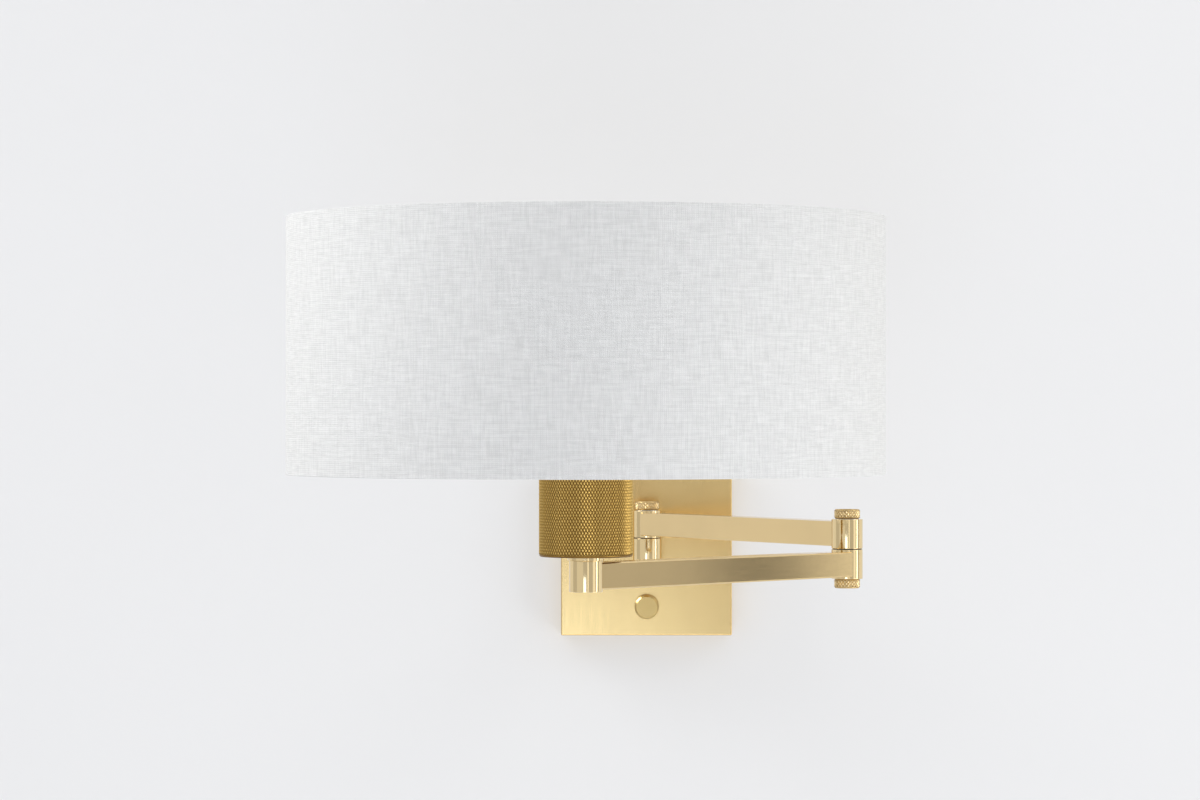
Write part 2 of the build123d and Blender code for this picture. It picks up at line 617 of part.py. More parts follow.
with BuildPart() as spider_spokes:
    for heading in SPOKE_ANGLES:
        route = spoke_route(heading)
        with BuildLine() as spoke_line:
            FilletPolyline(*route, radius=SPOKE_CORNER_RADIUS)
        weld = LAMP_AXIS + along(heading, FITTER_RADIUS + FIT)
        with BuildSketch(across(weld, heading, SPOKE_LEVEL)):
            Circle(SPOKE_RADIUS)
        sweep(path=spoke_line.line)
save(spider_spokes, "spider_spokes")


# ---- drum shade ---------------------------------------------------------------------------------
def wire_ring(height):
    """A welded wire ring that stiffens one edge of the shade."""
    with BuildPart() as piece:
        with BuildSketch(LAMP_SECTION):
            with Locations((RING_RADIUS, height)):
                Circle(RING_WIRE_RADIUS)
        revolve(axis=LAMP_LINE)
    return piece


def hem(edge, inwards):
    """The tape that folds over one edge of the shade and covers its wire."""
    lip_middle = edge + inwards * HEM_THICKNESS / 2
    skirt_middle = edge + inwards * HEM_HEIGHT / 2
    with BuildPart() as piece:
        with BuildSketch(LAMP_SECTION):
            with Locations(((SHADE_RADIUS + HEM_INSIDE) / 2, lip_middle)):
                Rectangle(SHADE_RADIUS - HEM_INSIDE, HEM_THICKNESS)
            with Locations((HEM_INSIDE + HEM_THICKNESS / 2, skirt_middle)):
                Rectangle(HEM_THICKNESS, HEM_HEIGHT)
        revolve(axis=LAMP_LINE)
    return piece


def cut_spoke_notches(height):
    """Let the spokes through the hem that is being built."""
    for heading in SPOKE_ANGLES:
        inside = LAMP_AXIS + along(heading, HEM_INSIDE - SPOKE_RADIUS)
        with BuildSketch(across(inside, heading, height)) as notch:
            SlotCenterToCenter(2 * SPOKE_RADIUS, 2 * (SPOKE_RADIUS + AIR), rotation=90)
        extrude(notch.sketch, amount=2 * SPOKE_RADIUS + HEM_THICKNESS, mode=Mode.SUBTRACT)


save(wire_ring(BOTTOM_RING_HEIGHT), "shade_bottom_ring")
save(wire_ring(TOP_RING_HEIGHT), "shade_top_ring")
save(hem(SHADE_TOP, -1), "shade_top_hem")

with BuildPart() as shade_bottom_hem:
    add(hem(SHADE_BOTTOM, 1).part)
    cut_spoke_notches(BOTTOM_RING_HEIGHT + SPOKE_RADIUS)
save(shade_bottom_hem, "shade_bottom_hem")

WALL_BOTTOM = SHADE_BOTTOM + HEM_THICKNESS + FIT
WALL_HEIGHT = SHADE_HEIGHT - 2 * (HEM_THICKNESS + FIT)
shade_liner = ring(level(LAMP_AXIS, WALL_BOTTOM), LINER_OUTSIDE, LINER_INSIDE, WALL_HEIGHT)
save(shade_liner, "shade_liner")

shade_linen = ring(level(LAMP_AXIS, WALL_BOTTOM), SHADE_RADIUS, LINEN_INSIDE, WALL_HEIGHT)
save(shade_linen, "shade_linen")

# ---- dimmer -------------------------------------------------------------------------------------
SHAFT_START = PLATE_INSIDE - DIMMER_DEPTH / 2
SHAFT_END = PLATE_DEPTH + DIMMER_SHAFT_LENGTH - 2 * AIR
KNOB_BACK = PLATE_DEPTH + KNOB_STAND_OFF
KNOB_SCREW_OUT = KNOB_BACK + (KNOB_RECESS_DEPTH + KNOB_HEIGHT - KNOB_EDGE) / 2
KNOB_SCREW_LENGTH = KNOB_RADIUS - DIMMER_SHAFT_RADIUS - AIR


def knob_screw_plane(drop):
    """A plane that faces down, across the knob's screw, this far below the shaft's middle."""
    return Plane((0, -KNOB_SCREW_OUT, -DIMMER_DROP - drop), z_dir=(0, 0, -1))


with BuildPart() as dimmer_body:
    with BuildSketch(dimmer_plane(PLATE_INSIDE - DIMMER_DEPTH)):
        RectangleRounded(DIMMER_SIDE, DIMMER_SIDE, DIMMER_CORNER)
    extrude(amount=DIMMER_DEPTH)
    drill(dimmer_plane(SHAFT_START - AIR), DIMMER_SHAFT_RADIUS + RUNNING_FIT, DIMMER_DEPTH)
save(dimmer_body, "dimmer_body")

dimmer_bushing = ring(dimmer_plane(PLATE_INSIDE), DIMMER_BUSHING_RADIUS,
                      DIMMER_SHAFT_RADIUS + RUNNING_FIT, DIMMER_BUSHING_LENGTH)
save(dimmer_bushing, "dimmer_bushing")

dimmer_nut = hex_nut(dimmer_plane(PLATE_DEPTH), DIMMER_NUT_ACROSS,
                     DIMMER_BUSHING_RADIUS + FIT, DIMMER_NUT_HEIGHT)
save(dimmer_nut, "dimmer_nut")

with BuildPart() as dimmer_shaft:
    with BuildSketch(dimmer_plane(SHAFT_START)):
        Circle(DIMMER_SHAFT_RADIUS)
    extrude(amount=SHAFT_END - SHAFT_START)
save(dimmer_shaft, "dimmer_shaft")

with BuildPart() as dimmer_knob:
    with BuildSketch(dimmer_plane(KNOB_BACK)):
        Circle(KNOB_RADIUS)
    extrude(amount=KNOB_HEIGHT)
    chamfer(dimmer_knob.faces().sort_by(Axis.Y)[0].edges(), KNOB_EDGE)
    drill(dimmer_plane(KNOB_BACK), KNOB_RECESS_RADIUS, KNOB_RECESS_DEPTH)
    drill(dimmer_plane(KNOB_BACK), DIMMER_SHAFT_RADIUS + FIT, SHAFT_END - KNOB_BACK + AIR)
    drill(knob_screw_plane(0), KNOB_SCREW_RADIUS + FIT, KNOB_RADIUS)
save(dimmer_knob, "dimmer_knob")

with BuildPart() as knob_set_screw:
    with BuildSketch(knob_screw_plane(DIMMER_SHAFT_RADIUS + FIT)):
        Circle(KNOB_SCREW_RADIUS)
    extrude(amount=KNOB_SCREW_LENGTH)
save(knob_set_screw, "knob_set_screw")

# ---- wiring in the backplate ---------------------------------------------------------------------
CONNECTOR_OUT = PLATE_INSIDE - AIR - CONNECTOR_RADIUS
CONNECTOR_X = [CONNECTOR_FIRST_X + i * CONNECTOR_PITCH for i in range(3)]

with BuildPart() as wire_connectors:
    for x in CONNECTOR_X:
        with BuildSketch(Plane((x, -CONNECTOR_OUT, CONNECTOR_TOP))):
            Circle(CONNECTOR_RADIUS)
        with BuildSketch(Plane((x, -CONNECTOR_OUT, CONNECTOR_TOP - CONNECTOR_LENGTH))):
            Circle(CONNECTOR_TIP_RADIUS)
        loft()
save(wire_connectors, "wire_connectors")

LEAD_PITCH = 2 * LEAD_RADIUS + AIR
LEAD_TURN_OUT = NIPPLE_INNER_END - 2 * LEAD_BEND


def lead_route(i, x):
    """One lead: up out of its connector, across, back towards the wall and into the nipple."""
    top = CONNECTOR_TOP + LEAD_RISE + (2 - i) * LEAD_PITCH
    entry = (i - 1) * LEAD_PITCH
    return [(x, -CONNECTOR_OUT, CONNECTOR_TOP + FIT), (x, -CONNECTOR_OUT, top),
            (entry, -CONNECTOR_OUT, top), (entry, -LEAD_TURN_OUT, top),
            (entry, -LEAD_TURN_OUT, 0), (entry, -NIPPLE_INNER_END - LEAD_RADIUS, 0)]


with BuildPart() as canopy_wires:
    for i, x in enumerate(CONNECTOR_X):
        with BuildLine() as lead_line:
            FilletPolyline(*lead_route(i, x), radius=LEAD_BEND)
        with BuildSketch(Plane((x, -CONNECTOR_OUT, CONNECTOR_TOP + FIT))):
            Circle(LEAD_RADIUS)
        sweep(path=lead_line.line)
save(canopy_wires, "canopy_wires")
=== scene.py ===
import math

import bmesh
import bpy
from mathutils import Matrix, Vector


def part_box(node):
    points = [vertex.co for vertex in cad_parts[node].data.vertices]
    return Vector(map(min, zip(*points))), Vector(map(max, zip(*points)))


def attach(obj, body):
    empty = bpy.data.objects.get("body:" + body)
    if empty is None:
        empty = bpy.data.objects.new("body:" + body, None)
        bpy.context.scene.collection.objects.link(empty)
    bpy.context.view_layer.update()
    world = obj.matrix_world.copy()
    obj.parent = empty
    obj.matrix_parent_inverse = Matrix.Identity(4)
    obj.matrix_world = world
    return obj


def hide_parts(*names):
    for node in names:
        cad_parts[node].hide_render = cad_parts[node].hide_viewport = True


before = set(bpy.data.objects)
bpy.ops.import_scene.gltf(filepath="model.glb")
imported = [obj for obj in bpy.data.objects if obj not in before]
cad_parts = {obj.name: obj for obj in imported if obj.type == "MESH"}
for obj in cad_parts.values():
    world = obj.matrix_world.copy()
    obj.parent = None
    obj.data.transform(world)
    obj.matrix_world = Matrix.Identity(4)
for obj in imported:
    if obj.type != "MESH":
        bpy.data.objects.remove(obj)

bl_info = {
    "name": "Swing arm wall sconce",
    "version": (1, 0, 0),
    "blender": (4, 5, 0),
    "location": "View3D > Sidebar > Sconce",
    "description": "Dresses the packed sconce: knurled brass, linen drum shade, bulb, wall and lights",
    "category": "Object",
}

MM = 0.001

# the play between a bored piece and what it sits on, as in the CAD model
FIT = 0.02 * MM
# points closer than this to a line or a level count as on it, and points closer than WELD become one
CLOSE = 0.01 * MM
WELD = 0.002 * MM
# enough segments for smooth reflections, and one a degree for cuts that fall on whole faces
BARREL_SEGMENTS = 192
SHADE_SEGMENTS = 360
# how much of a diamond's width each of its sloping sides takes
CUP_FLANK = 0.33
FINIAL_FLANK = 0.26
# degrees about the shade's axis: the seam faces the wall, as one of the three spokes does
SEAM_ANGLE = 90
SPOKE_ANGLES = (90, 210, 330)
SPOKE_CUT_HALF_ANGLE = 1

FINIALS = {
    "wall_top_finial": "root",
    "wall_bottom_finial": "root",
    "elbow_top_finial": "lower_arm",
    "elbow_bottom_finial": "lower_arm",
}
# the barrels that hold a pin, and those that turn on one with a bushing
FIXED_BARRELS = {"wall_barrel": "root", "lower_arm_elbow_barrel": "lower_arm"}
TURNING_BARRELS = {"upper_arm_wall_barrel": "upper_arm", "upper_arm_elbow_barrel": "upper_arm"}


# ---------------------------------------------------------------- places from the frame
def low(node):
    """The lowest corner of a CAD node's box."""
    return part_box(node)[0]


def high(node):
    """The highest corner of a CAD node's box."""
    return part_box(node)[1]


def middle(node):
    """Centre of a CAD node's box."""
    return (low(node) + high(node)) / 2


def radius_of(node):
    """Half the width of an upright round node."""
    return (high(node).x - low(node).x) / 2


def foot(node, height=0.0):
    """The point on an upright node's centre line at that height."""
    return Vector((middle(node).x, middle(node).y, height))


def heading(start, end):
    """Direction from one upright node's centre line to another's, as an angle about Z."""
    return math.atan2(middle(end).y - middle(start).y, middle(end).x - middle(start).x)


UPPER_HEADING = heading("wall_pin", "elbow_pin")
LOWER_HEADING = heading("elbow_pin", "head_nipple")


# ---------------------------------------------------------------- what a user may change
class SconceSizes(bpy.types.PropertyGroup):
    """Sizes of the details that the CAD model leaves plain."""

    knurl_width: bpy.props.FloatProperty(
        name="Knurl width", description="Width of one diamond of the cup's knurl",
        default=1.85 * MM, min=0.5 * MM, unit="LENGTH")
    knurl_height: bpy.props.FloatProperty(
        name="Knurl height", description="Height of one diamond of the cup's knurl",
        default=3.4 * MM, min=0.5 * MM, unit="LENGTH")
    knurl_depth: bpy.props.FloatProperty(
        name="Knurl depth", description="Depth of the cup's and the finials' grooves",
        default=0.4 * MM, min=0.05 * MM, unit="LENGTH")
    finial_knurl: bpy.props.FloatProperty(
        name="Finial knurl", description="Width and height of one diamond of a finial's knurl",
        default=2.3 * MM, min=0.5 * MM, unit="LENGTH")
    thread_pitch: bpy.props.FloatProperty(
        name="Thread spacing", description="Spacing of the linen's threads",
        default=1.1 * MM, min=0.1 * MM, unit="LENGTH")
    slub_length: bpy.props.FloatProperty(
        name="Slub length", description="Length of the thick places in the linen's threads",
        default=14 * MM, min=1 * MM, unit="LENGTH")
    seam_width: bpy.props.FloatProperty(
        name="Seam width", description="Width of the shade's glued overlap",
        default=12 * MM, min=1 * MM, unit="LENGTH")


class SconceColours(bpy.types.PropertyGroup):
    """Colours of the finishes, as sRGB hex values."""

    brass: bpy.props.StringProperty(
        name="Brass", description="Brushed and lacquered brass", default="ECD19B")
    plate: bpy.props.StringProperty(
        name="Plate", description="Brushed and lacquered brass of the backplate", default="EACB8C")
    polished: bpy.props.StringProperty(
        name="Polished brass", description="Polished brass of the barrels", default="ECD4A2")
    knurled: bpy.props.StringProperty(
        name="Knurled brass", description="Aged brass on the knurl's points", default="E3C070")
    # painted shade: the cup's grooves are coloured darker for the shade that falls in them
    groove_shade: bpy.props.StringProperty(
        name="Groove", description="Dark lacquer in the cup's grooves", default="6E4C18")
    # painted shade: the finials' grooves are coloured a little darker for the shade in them
    finial_groove_shade: bpy.props.StringProperty(
        name="Finial groove", description="Lacquer in the finials' grooves", default="C9AC76")
    finial: bpy.props.StringProperty(
        name="Finial", description="Brass on the points of the finials' knurl", default="F2DFB4")
    knob: bpy.props.StringProperty(
        name="Knob", description="Satin brass of the dimmer's knob", default="CDB072")
    linen: bpy.props.StringProperty(
        name="Linen", description="The shade's cloth", default="ECECEA")
    wall: bpy.props.StringProperty(
        name="Wall", description="The plaster behind the lamp", default="CDCDCD")


# ---------------------------------------------------------------- small tools for materials
def linear(hex_colour):
    """sRGB hex to the linear colour that a shader's socket takes."""
    channels = [int(hex_colour[i:i + 2], 16) / 255 for i in (0, 2, 4)]
    return [c / 12.92 if c <= 0.04045 else ((c + 0.055) / 1.055) ** 2.4 for c in channels] + [1.0]


def add_node(tree, kind, settings=None, inputs=None):
    """Adds one node; an input is a value, or the output socket that feeds it."""
    node = tree.nodes.new(kind)
    for name, value in (settings or {}).items():
        setattr(node, name, value)
    for name, value in (inputs or {}).items():
        socket = node.inputs[name]
        if isinstance(value, bpy.types.NodeSocket):
            tree.links.new(value, socket)
        else:
            socket.default_value = value
    return node


def new_material(name):
    """An empty material and its node tree and shader."""
    material = bpy.data.materials.new(name)
    material.use_nodes = True
    tree = material.node_tree
    return material, tree, tree.nodes["Principled BSDF"]


def place(tree, turn=0.0, scale=(1, 1, 1), centre=(0, 0, 0)):
    """Object coordinates about a centre, turned about Z and scaled."""
    coordinates = add_node(tree, "ShaderNodeTexCoord")
    moved = add_node(tree, "ShaderNodeVectorMath", {"operation": "SUBTRACT"}, {
        0: coordinates.outputs["Object"], 1: centre})
    mapping = add_node(tree, "ShaderNodeMapping", inputs={
        "Vector": moved.outputs["Vector"], "Rotation": (0, 0, turn)})
    stretched = add_node(tree, "ShaderNodeVectorMath", {"operation": "MULTIPLY"}, {
        0: mapping.outputs["Vector"], 1: scale})
    return stretched.outputs["Vector"]


def noise(tree, vector, scale=1.0, detail=2.0, roughness=0.5):
    """A noise texture's factor."""
    return add_node(tree, "ShaderNodeTexNoise", inputs={
        "Vector": vector, "Scale": scale, "Detail": detail, "Roughness": roughness}).outputs["Fac"]


def spread(tree, value, start, end, from_min=0.3, from_max=0.7):
    """A value mapped from one range to another."""
    return add_node(tree, "ShaderNodeMapRange", inputs={
        "Value": value, "From Min": from_min, "From Max": from_max,
        "To Min": start, "To Max": end}).outputs["Result"]


def mix(tree, factor, first, second):
    """Two hex colours mixed by a factor."""
    node = add_node(tree, "ShaderNodeMix", {"data_type": "RGBA"}, {"Factor": factor})
    # a colour mix keeps its two colours in the sockets numbered 6 and 7
    node.inputs[6].default_value = linear(first)
    node.inputs[7].default_value = linear(second)
    return node.outputs[2]


def darker(hex_colour, share):
    """A hex colour made darker by a share."""
    return "".join(f"{round(int(hex_colour[i:i + 2], 16) * (1 - share)):02X}" for i in (0, 2, 4))


def bumped(tree, shader, height, strength, distance):
    """Feeds a height into the shader's normal."""
    bump = add_node(tree, "ShaderNodeBump", inputs={
        "Height": height, "Strength": strength, "Distance": distance})
    tree.links.new(bump.outputs["Normal"], shader.inputs["Normal"])


# ---------------------------------------------------------------- finishes
def brushed_brass(name, colour, turn, grain, roughness):
    """Brass brushed with a fine belt and lacquered: a soft sheen, streaked along its strokes."""
    material, tree, shader = new_material(name)
    strokes = noise(tree, place(tree, turn, grain), 1.0, 3.0, 0.6)
    broad = noise(tree, place(tree), 1 / (45 * MM))
    tree.links.new(mix(tree, broad, colour, darker(colour, 0.06)), shader.inputs["Base Color"])
    tree.links.new(spread(tree, strokes, *roughness), shader.inputs["Roughness"])
    shader.inputs["Metallic"].default_value = 1.0
    bumped(tree, shader, strokes, 0.3, 0.03 * MM)
    return material


def polished_brass(name, colour):
    """Polished and lacquered brass: sharp reflections, with faint turning lines and smears."""
    material, tree, shader = new_material(name)
    # turning lines run round the piece; real ones are too fine to show, so they are 0.3 mm apart
    across = 1 / (20 * MM)
    turning = noise(tree, place(tree, 0, (across, across, 1 / (0.3 * MM))))
    smear = noise(tree, place(tree), 1 / (8 * MM), 3.0)
    shader.inputs["Base Color"].default_value = linear(colour)
    shader.inputs["Metallic"].default_value = 1.0
    tree.links.new(spread(tree, smear, 0.06, 0.13), shader.inputs["Roughness"])
    bumped(tree, shader, turning, 0.05, 0.01 * MM)
    return material


def knurled_brass(name, centre, tip_radius, depth, colour, groove_shade):
    """Knurled brass: the colour runs from brass on the points to a darker colour in the grooves, which
    is painted shade.
    """
    material, tree, shader = new_material(name)
    reach = add_node(tree, "ShaderNodeVectorMath", {"operation": "LENGTH"}, {
        0: place(tree, 0, (1, 1, 0), centre)}).outputs["Value"]
    rise = spread(tree, reach, 0.0, 1.0, tip_radius - depth, tip_radius)
    # painted shade: the colour darkens from the points down into the grooves
    tree.links.new(mix(tree, rise, groove_shade, colour), shader.inputs["Base Color"])
    tree.links.new(spread(tree, rise, 0.45, 0.25, 0.0, 1.0), shader.inputs["Roughness"])
    shader.inputs["Metallic"].default_value = 1.0
    return material


def plain_metal(name, colour, roughness, grain):
    """Turned, stamped or plated metal: a dull and slightly uneven shine."""
    material, tree, shader = new_material(name)
    cloud = noise(tree, place(tree), 1 / grain, 4.0)
    tree.links.new(mix(tree, cloud, colour, darker(colour, 0.12)), shader.inputs["Base Color"])
    tree.links.new(spread(tree, cloud, roughness * 0.8, roughness * 1.2), shader.inputs["Roughness"])
    shader.inputs["Metallic"].default_value = 1.0
    return material


def moulded(name, colour, roughness, grain, strength=0.15):
    """Moulded plastic, powder coat or lead jacket: one colour with a fine orange-peel skin."""
    material, tree, shader = new_material(name)
    skin = noise(tree, place(tree), 1 / grain)
    tree.links.new(mix(tree, skin, colour, darker(colour, 0.04)), shader.inputs["Base Color"])
    shader.inputs["Roughness"].default_value = roughness
    bumped(tree, shader, skin, strength, 0.05 * MM)
    return material


def opal_glass(name):
    """Opal glass, blown and frosted inside: milky white under a glossy skin."""
    material, tree, shader = new_material(name)
    cloud = noise(tree, place(tree), 1 / (12 * MM))
    tree.links.new(mix(tree, cloud, "F8F7F2", "EFEEE8"), shader.inputs["Base Color"])
    tree.links.new(spread(tree, cloud, 0.12, 0.2), shader.inputs["Roughness"])
    return material


def linen_cloth(name, colour, centre, radius, pitch, slub):
    """Plain-woven linen pasted on a stiff drum: matt, with threads and slubs round it and up it.

    Real threads are about 0.4 mm apart and too fine to show, so they are drawn wider."""
    material, tree, shader = new_material(name)

    def maths(operation, *values):
        settings = {"operation": operation}
        return add_node(tree, "ShaderNodeMath", settings, dict(enumerate(values))).outputs["Value"]

    moved = place(tree, 0, (1, 1, 1), centre)
    point = add_node(tree, "ShaderNodeSeparateXYZ", inputs={"Vector": moved}).outputs
    # the angle starts and ends at the seam, which faces the wall
    angle = maths("ARCTAN2", point["X"], maths("MULTIPLY", point["Y"], -1.0))
    cloth = add_node(tree, "ShaderNodeCombineXYZ", inputs={
        "X": maths("MULTIPLY", angle, radius), "Y": point["Z"]}).outputs["Vector"]

    def threads(direction):
        # a wave texture's bands are 2 pi / (20 scale) apart
        bands = {"wave_type": "BANDS", "bands_direction": direction}
        return add_node(tree, "ShaderNodeTexWave", bands, {
            "Vector": cloth, "Scale": 2 * math.pi / (20 * pitch), "Distortion": 1.5,
            "Detail": 2.0, "Detail Scale": 0.6}).outputs["Fac"]

    def slubs(stretch):
        stretched = add_node(tree, "ShaderNodeVectorMath", {"operation": "MULTIPLY"}, {
            0: cloth, 1: stretch})
        return noise(tree, stretched.outputs["Vector"], 1.0, 3.0, 0.6)

    # slubs run both ways, and stand out more than the weave does
    slub_rise, slub_light, weave_light = 1.6, 0.6, 0.5
    long, thin = 1 / slub, 1 / (1.5 * pitch)
    thickness = maths("ADD", slubs((long, thin, 1)), slubs((thin, long, 1)))
    weave = maths("MULTIPLY", threads("X"), threads("Y"))
    height = maths("MULTIPLY_ADD", thickness, slub_rise, weave)
    thick = spread(tree, thickness, 0.0, 1.0, 0.75, 1.25)
    # painted shade and light: the colour is darker between the threads and lighter on the threads and
    # the thick slubs
    light = maths("MULTIPLY_ADD", weave, weave_light, maths("MULTIPLY", thick, slub_light))
    shade_between_threads = darker(colour, 0.11)
    tree.links.new(mix(tree, light, shade_between_threads, colour), shader.inputs["Base Color"])
    shader.inputs["Roughness"].default_value = 0.95
    shader.inputs["Specular IOR Level"].default_value = 0.2
    shader.inputs["Sheen Weight"].default_value = 0.1
    bumped(tree, shader, height, 0.8, 0.2 * MM)
    return material


def plaster(name, colour):
    """Rolled plaster: matt, with a low broad texture.

    Only its front is solid, so that the back of the lamp can be looked at."""
    material, tree, shader = new_material(name)
    dabs = noise(tree, place(tree), 1 / (35 * MM), 5.0, 0.55)
    shader.inputs["Base Color"].default_value = linear(colour)
    shader.inputs["Roughness"].default_value = 0.9
    shader.inputs["Specular IOR Level"].default_value = 0.2
    # a wall lit from all round: its own glow fills the lamp's shadow
    shader.inputs["Emission Color"].default_value = linear("FFFFFF")
    shader.inputs["Emission Strength"].default_value = 0.2
    bumped(tree, shader, dabs, 0.15, 2 * MM)
    sides = add_node(tree, "ShaderNodeMixShader", inputs={
        0: add_node(tree, "ShaderNodeNewGeometry").outputs["Backfacing"],
        1: shader.outputs["BSDF"],
        2: add_node(tree, "ShaderNodeBsdfTransparent").outputs["BSDF"]})
    tree.links.new(sides.outputs["Shader"], tree.nodes["Material Output"].inputs["Surface"])
    return material


# ---------------------------------------------------------------- small tools for pieces
def only(obj):
    """Object mode, with this object alone selected and active."""
    if bpy.context.mode != "OBJECT":
        bpy.ops.object.mode_set(mode="OBJECT")
    bpy.ops.object.select_all(action="DESELECT")
    bpy.context.view_layer.objects.active = obj
    if obj:
        obj.select_set(True)


def edit(obj):
    """Edit mode on one object, with all of it selected."""
    only(obj)
    bpy.ops.object.mode_set(mode="EDIT")
    bpy.ops.mesh.select_all(action="SELECT")


def pick(obj, kind, test):
    """In edit mode, selects only the verts, edges or faces that pass the test."""
    bpy.ops.mesh.select_mode(type=kind.removesuffix("s").upper())
    bpy.ops.mesh.select_all(action="DESELECT")
    mesh = bmesh.from_edit_mesh(obj.data)
    chosen = [element for element in getattr(mesh, kind) if test(element)]
    for element in chosen:
        element.select_set(True)
    mesh.select_flush_mode()
    bmesh.update_edit_mesh(obj.data)
    if not chosen:
        raise RuntimeError(f"nothing to select on {obj.name}")


def pull(start, profile):
    """Extrudes the selected ring through a profile of (radius, height) points about Z."""
    radius, height = start
    for next_radius, next_height in profile:
        bpy.ops.mesh.extrude_edges_move()
        scale = next_radius / radius
        bpy.ops.transform.resize(value=(scale, scale, 1), center_override=(0, 0, height))
        bpy.ops.transform.translate(value=(0, 0, next_height - height))
        radius, height = next_radius, next_height


def mend(obj):
    """Merges doubled points and turns the faces outwards."""
    edit(obj)
    bpy.ops.mesh.remove_doubles(threshold=WELD)
    bpy.ops.mesh.select_all(action="SELECT")
    bpy.ops.mesh.normals_make_consistent(inside=False)
    bpy.ops.object.mode_set(mode="OBJECT")


def lathe(name, profile, segments):
    """In edit mode, a circle pulled about Z through a profile of (radius, height) points."""
    only(None)
    radius, height = profile[0]
    bpy.ops.mesh.primitive_circle_add(vertices=segments, radius=radius, location=(0, 0, height))
    obj = bpy.context.object
    obj.name = name
    bpy.ops.object.transform_apply(location=True, rotation=True, scale=True)
    edit(obj)
    pull((radius, height), profile[1:])
    return obj


def turned(name, profile, segments):
    """A turned ring about Z, whose profile is closed back to its first point."""
    obj = lathe(name, profile + [profile[0]], segments)
    mend(obj)
    return obj


def plugged(name, profile, segments):
    """A turned piece about Z with a flat foot, whose profile ends on the axis."""
    obj = lathe(name, profile, segments)
    foot_radius = profile[0][0]

    def is_foot(edge):
        return len(edge.link_faces) == 1 and edge.verts[0].co.xy.length > foot_radius / 2

    pick(obj, "edges", is_foot)
    bpy.ops.mesh.edge_face_add()
    mend(obj)
    return obj


def corner(centre, radius, start, end, steps=4):
    """Points of a round corner in a profile; 0 degrees is outwards and 90 up."""
    angles = [math.radians(start + (end - start) * i / steps) for i in range(steps + 1)]
    return [(centre[0] + radius * math.cos(a), centre[1] + radius * math.sin(a)) for a in angles]


def knurled(name, radius, bottom, top, width, height, depth, slope, under, over=()):
    """A band of raised diamonds about Z, closed by profiles pulled from its lower and upper edges."""
    only(None)
    columns = round(2 * math.pi * radius / width)
    rows = max(2, round((top - bottom) / height))
    groove_radius = radius - depth
    bpy.ops.mesh.primitive_cylinder_add(
        vertices=columns, radius=groove_radius, depth=top - bottom,
        end_fill_type="NOTHING", location=(0, 0, (top + bottom) / 2))
    obj = bpy.context.object
    obj.name = name
    bpy.ops.object.transform_apply(location=True, rotation=True, scale=True)
    edit(obj)

    def is_upright(edge):
        return abs(edge.verts[0].co.z - edge.verts[1].co.z) > (top - bottom) / 2

    pick(obj, "edges", is_upright)
    bpy.ops.mesh.subdivide(number_cuts=rows - 1)
    bpy.ops.mesh.select_mode(type="FACE")
    bpy.ops.mesh.select_all(action="SELECT")
    bpy.ops.mesh.poke()

    def is_square_edge(edge):
        first, second = (vert.co for vert in edge.verts)
        level = abs(first.z - second.z) < CLOSE
        upright = (first.xy - second.xy).length < CLOSE
        return len(edge.link_faces) == 2 and (level or upright)

    pick(obj, "edges", is_square_edge)
    bpy.ops.mesh.dissolve_edges(use_verts=False)
    bpy.ops.mesh.select_mode(type="FACE")
    bpy.ops.mesh.select_all(action="SELECT")
    bpy.ops.mesh.inset(thickness=slope, depth=depth, use_individual=True)

    for level, profile in ((bottom, under), (top, over)):
        def is_ring(edge):
            at_level = all(abs(vert.co.z - level) < CLOSE for vert in edge.verts)
            return len(edge.link_faces) == 1 and at_level

        if profile:
            pick(obj, "edges", is_ring)
            pull((groove_radius, level), profile)
    mend(obj)
    return obj


def settle(obj, location, turn=(0, 0, 0)):
    """Moves a piece made about the origin to its place, and leaves its object at the origin."""
    only(obj)
    obj.rotation_euler = turn
    obj.location = location
    bpy.ops.object.transform_apply(location=True, rotation=True, scale=True)


def smooth(obj, angle=35):
    """Smooth shading that keeps the sharp edges."""
    only(obj)
    bpy.ops.object.shade_smooth_by_angle(angle=math.radians(angle))


def copy_of(obj, name, location, turn=(0, 0, 0)):
    """A copy with its own mesh, in its own place."""
    only(obj)
    bpy.ops.object.duplicate()
    copy = bpy.context.object
    copy.name = name
    settle(copy, location, turn)
    return copy


def hand_over(obj, material, body, slot, *nodes):
    """Gives a finished piece its material, hangs it on its body and hides the CAD nodes that it stands
    for.
    """
    obj.data.materials.clear()
    obj.data.materials.append(material)
    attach(obj, body)
    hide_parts(*nodes)


def paint(material, *nodes):
    """Gives CAD nodes a better material in their own slots."""
    for node in nodes:
        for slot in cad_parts[node].material_slots:
            slot.material = material


